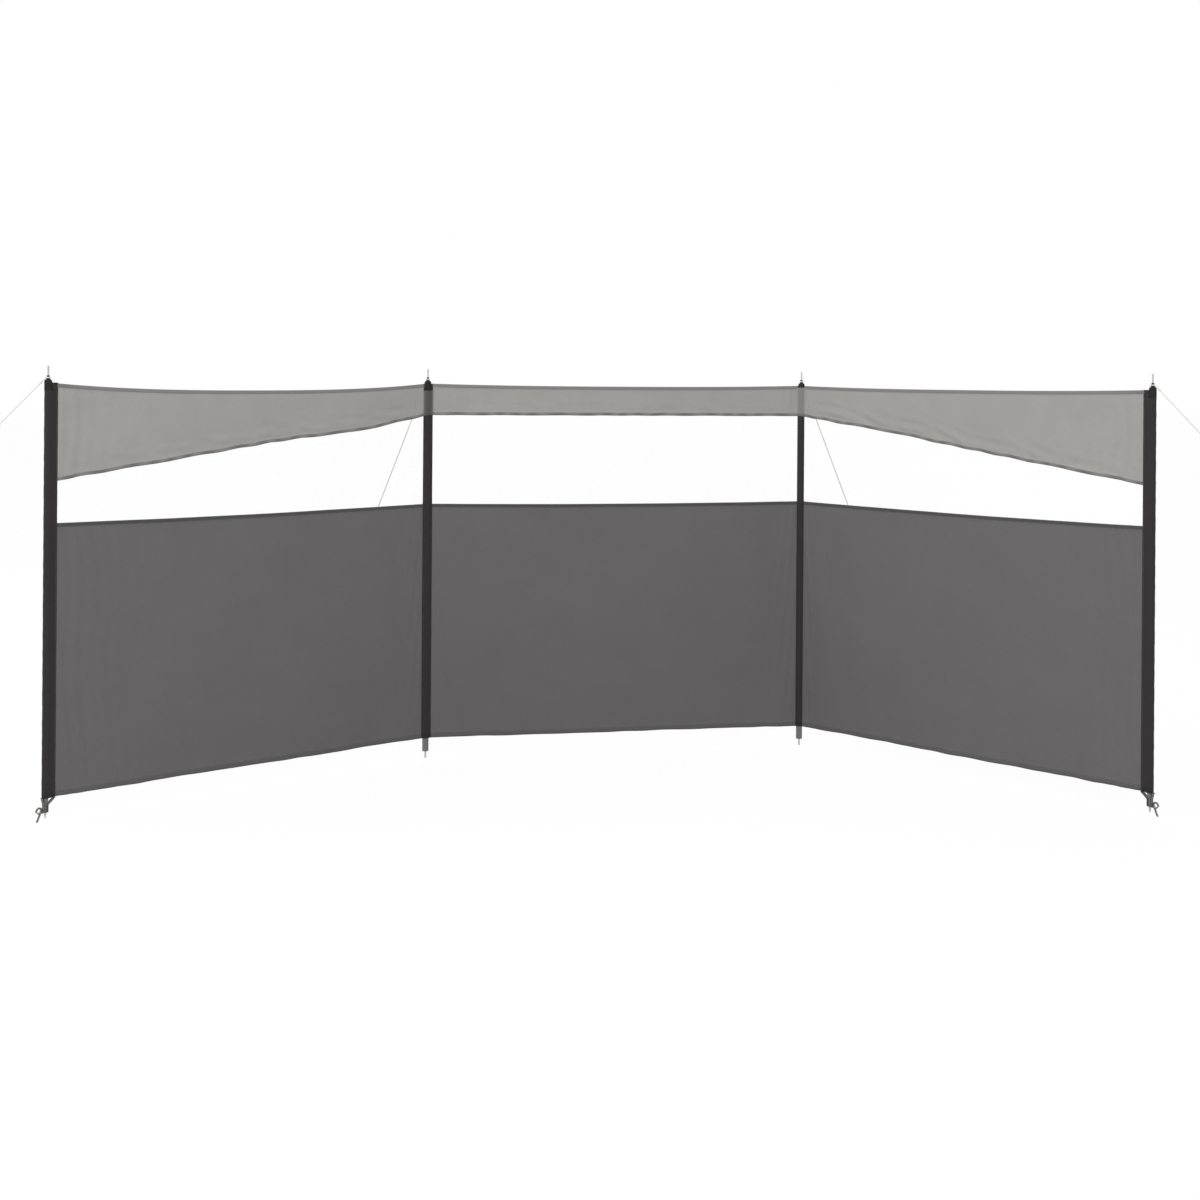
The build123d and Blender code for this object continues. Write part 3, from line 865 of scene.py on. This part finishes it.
def sleeve_pulls(s, z, seed, free):
    """How far a sleeve's cloth stands out, at s round it and a height z: two slanted sines that fade at
    the seams and never go deeper than half the cloth's thickness."""
    pulls = 0.0003 * wave(z / 0.075 + s / 0.05, 1.4 * wave(z / 0.31, seed))
    pulls += 0.0002 * wave(z / 0.033 - s / 0.04, seed)
    return np.maximum(free * pulls, -SLEEVE_HALF) - SLEEVE_HALF


for pole, angles in SLEEVE_HEADINGS.items():
    sleeve, thread = Shape(), Shape()

    # The round sleeve up to the cap's skirt, each strip drawn up its pole
    for number, plan in enumerate(sleeve_sections(pole)):
        share = np.linspace(0, 1, 176)[:, None]
        z = np.broadcast_to(GAP * (1 - share) + SKIRT_BOTTOM * share, (len(share), len(plan)))
        s = np.broadcast_to(distances(plan), z.shape)
        points = FEET[pole] + plan + UP * z[..., None]
        outs = surface_normals(points)
        outs = outs * np.where((outs * plan).sum(2, keepdims=True) < 0, -1.0, 1.0)
        free = smooth_step(0, 0.008, s)
        if len(angles) == 2:
            free = free * smooth_step(0, 0.008, s[:, -1:] - s)
        stand = sleeve_pulls(s, z, 3 * number + len(pole), free)
        hem = z < GAP + SLEEVE_HEM
        half = np.where(hem, SLEEVE_HEM_HALF, SLEEVE_HALF)
        sleeve.shell(points + outs * stand[..., None], outs, half, metres(s, z), SLEEVE_HEM_SHADE * hem)

    # Beside the cap only the flat parts go on, and stitches run along both sides of each seam
    for angle in angles:
        for side in (1, -1):
            plan = sleeve_flank(pole, angle, side, 14)[0]
            plan = plan[np.linalg.norm(plan, axis=1) > CAP_ROOM]
            if len(plan) < 2:
                continue
            z = np.linspace(SKIRT_BOTTOM - 0.001, CLOTH_TOP, 6)[:, None]
            points = FEET[pole] + plan + UP * z[..., None]
            left = np.cross(UP, heading(angle)) * side
            outs = surface_normals(points)
            outs = outs * np.sign((outs * left).sum(2, keepdims=True))
            uvs = metres(np.arange(len(plan)) * 0.002, z)
            sleeve.shell(points - outs * SLEEVE_HALF, outs, SLEEVE_HALF, uvs)
            foot = FEET[pole] + heading(angle) * (REACH[pole] - SEAM_STITCH_INSET) + left * SEAM_STITCH_OUT
            heights = np.linspace(GAP + SEAM_STITCH_END, CLOTH_TOP - SEAM_STITCH_END, 60)[:, None]
            line = foot + UP * heights
            thread.stitches(line, np.broadcast_to(left, line.shape))
    finish_piece(pole + "_sleeve_cloth", sleeve, BLACK, [pole + "_sleeve"])
    finish_piece(pole + "_sleeve_stitching", thread, THREAD)


def whipping(middle, axis):
    """Two and a half turns of thin cord bound round a guy: a helix round an axis."""
    one = np.cross(axis, UP)
    one /= np.linalg.norm(one)
    angle = np.linspace(0, TURN * WHIPPING_TURNS, 60)[:, None]
    coil = np.cos(angle) * one + np.sin(angle) * np.cross(axis, one)
    return middle + axis * ((angle / angle[-1] - 0.5) * WHIPPING_LENGTH) + WHIPPING_AWAY * coil


for pole, angle in GUY_HEADINGS.items():
    # The eye round the cap's neck, and the straight run down to the peg
    away = heading(angle)
    side = np.cross(UP, away)
    eye_radius = NECK_RADIUS + CLEARANCE + EYE_ROPE_RADIUS
    eye_centre = FEET[pole] + UP * (CAP_TOP + CLEARANCE + EYE_ROPE_RADIUS)
    top = eye_centre + away * eye_radius
    low = FEET[pole] + away * GUY_SPREAD + UP * BIGHT_HEIGHT
    down = (low - top) / np.linalg.norm(low - top)
    share = np.linspace(0, 1, 80)[:, None]
    run = top * (1 - share) + low * share - UP * (GUY_SAG * np.sin(np.pi * share))

    # The bight round the peg, and the strand that leaves it on a tangent for the runner's second hole
    bight = PEG_RADIUS + CLEARANCE + GUY_RADIUS
    hole = low - down * RUNNER_DISTANCE + side * RUNNER_SPACING
    to_hole = math.hypot(RUNNER_DISTANCE, RUNNER_SPACING - bight)
    leave = math.atan2(RUNNER_SPACING - bight, -RUNNER_DISTANCE) - math.acos(bight / to_hole)
    turn = arc_points(low + side * bight, down, side, bight, -math.pi / 2, leave, 16)
    back = (hole - turn[-1]) / np.linalg.norm(hole - turn[-1])
    share = np.linspace(0, 1, 24)[:, None]
    rest = turn[-1] * (1 - share) + (hole + back * GUY_END) * share

    guy = Shape()
    guy.tube(np.concatenate([run, turn[1:], rest[1:]]), GUY_RADIUS, 10)
    guy.tube(ring_points(eye_centre, away, side, eye_radius), EYE_STRAND_RADIUS, 10, closed=True)
    guy.tube(whipping(top + down * EYE_KNOT_DISTANCE, down), WHIPPING_RADIUS)
    guy.tube(whipping(hole + back * RUNNER_KNOT_DISTANCE, back), WHIPPING_RADIUS)
    finish_piece(pole + "_guy_rope", guy, ROPE, [pole + "_guy"])


def ribbon(strap, foot, out, side, corners):
    """A strip of webbing along a line of corners in the upright plane of out: the line is divided evenly,
    averaged three times with its neighbours, and carried sideways by the strip's width."""
    corners = np.array(corners)
    along = distances(corners)
    even = np.linspace(0, along[-1], 64)
    line = np.stack([np.interp(even, along, corners[:, k]) for k in range(2)], -1)
    for _ in range(3):
        line[1:-1] = (line[:-2] + 2 * line[1:-1] + line[2:]) / 4
    across = np.linspace(-1, 1, 9) * STRAP_HALF_WIDTH
    points = foot + (out * line[:, :1] + UP * line[:, 1:])[:, None] + side * across[:, None]
    strap.shell(points, surface_normals(points), STRAP_HALF, metres(across, even[:, None]))


for pole in ("left_end", "right_end"):
    out = heading(SLEEVE_HEADINGS[pole][0] + 180)
    side = np.cross(out, UP)
    strap = Shape()
    for corners in (STRAP_LINE, TAB_LINE):
        ribbon(strap, FEET[pole], out, side, corners)
    finish_piece(pole + "_strap_webbing", strap, WEBBING, [pole + "_corner_strap"])

    # The metal eyelet where the peg goes through the tab: a ring on each face
    slope = np.array(TAB_LINE[1]) - TAB_LINE[0]
    ahead = (out * slope[0] + UP * slope[1]) / np.linalg.norm(slope)
    lift = (UP * slope[0] - out * slope[1]) / np.linalg.norm(slope)
    along = (CORNER_PEG_DISTANCE - STEM_SIDE) * np.linalg.norm(slope) / slope[0]
    centre = FEET[pole] + out * TAB_LINE[0][0] + UP * TAB_LINE[0][1] + ahead * along
    eyelet = Shape()
    for face in (EYELET_LIFT, -EYELET_LIFT):
        eyelet.tube(ring_points(centre + lift * face, ahead, side, EYELET_RADIUS), EYELET_ROD, closed=True)
    finish_piece(pole + "_tab_eyelet", eyelet, PIN_STEEL)


# The white floor: it keeps the shadows, and is nearly white itself where the camera sees it
FLOOR_SIZE, FLOOR_HEIGHT = 60, -0.026
FLOOR_WHITENESS = 0.96
corners = [(x * FLOOR_SIZE, y * FLOOR_SIZE, FLOOR_HEIGHT) for x, y in ((-1, -1), (1, -1), (1, 1), (-1, 1))]
floor_mesh = bpy.data.meshes.new("floor")
floor_mesh.from_pydata(corners, [], [(0, 1, 2, 3)])
floor = bpy.data.objects.new("floor", floor_mesh)
bpy.context.scene.collection.objects.link(floor)
paper = NodeTree(bpy.data.materials.new("white floor"))
soft = paper.node("ShaderNodeBsdfDiffuse", None, {"Color": (0.9, 0.9, 0.9, 1.0)})
bright = paper.node("ShaderNodeEmission", None, {"Color": WHITE, "Strength": 1.0})
share = paper.background_rays() * FLOOR_WHITENESS
floor_mesh.materials.append(paper.show(paper.node("ShaderNodeMixShader", None, [share, soft, bright])))

# The world: an even soft light on the windbreak, and plain white behind it
AMBIENT = 0.70
LIGHT_TARGET = np.array([0.7, 0.0, 0.7])
sky = NodeTree(bpy.data.worlds.new("studio"), "ShaderNodeOutputWorld")
ambient = sky.node("ShaderNodeBackground", None, {"Color": WHITE, "Strength": AMBIENT})
behind = sky.node("ShaderNodeBackground", None, {"Color": WHITE, "Strength": 1.0})
sky.show(sky.node("ShaderNodeMixShader", None, [sky.background_rays(), ambient, behind]))
bpy.context.scene.world = sky.owner


def area_light(name, place, size, power):
    """A square soft light that faces the middle of the windbreak."""
    light = bpy.data.lights.new(name, "AREA")
    light.shape = "SQUARE"
    light.size = size
    light.energy = power
    lamp = bpy.data.objects.new(name, light)
    bpy.context.scene.collection.objects.link(lamp)
    lamp.location = place
    x, y, z = LIGHT_TARGET - place
    lamp.rotation_euler = (math.atan2(math.hypot(x, y), -z), 0, math.atan2(y, x) - math.pi / 2)


area_light("front softbox", (-0.15, -6.07, 5.84), 3.5, 258.0)
area_light("back softbox", (0.7, 6.5, 5.0), 3.5, 170.0)
area_light("left softbox", (-6.65, -0.26, 4.95), 2.5, 178.0)

# The camera, level and with a shifted lens, as fitted to the ends of the poles
camera_data = bpy.data.cameras.new("photo camera")
camera_data.sensor_width = 36.0
camera_data.lens = 50.59
camera_data.shift_y = -0.1874
camera_data.clip_start = 0.1
camera_data.clip_end = 200.0
camera = bpy.data.objects.new("photo camera", camera_data)
bpy.context.scene.collection.objects.link(camera)
camera.location = (-0.537, -6.678, 1.490)
camera.rotation_mode = "XYZ"
camera.rotation_euler = (math.pi / 2, 0.0, math.atan2(-0.1809, 0.9835))
camera.rotation_euler.rotate_axis("Z", math.radians(0.409))
bpy.context.scene.camera = camera
bpy.context.scene.view_settings.view_transform = "Standard"
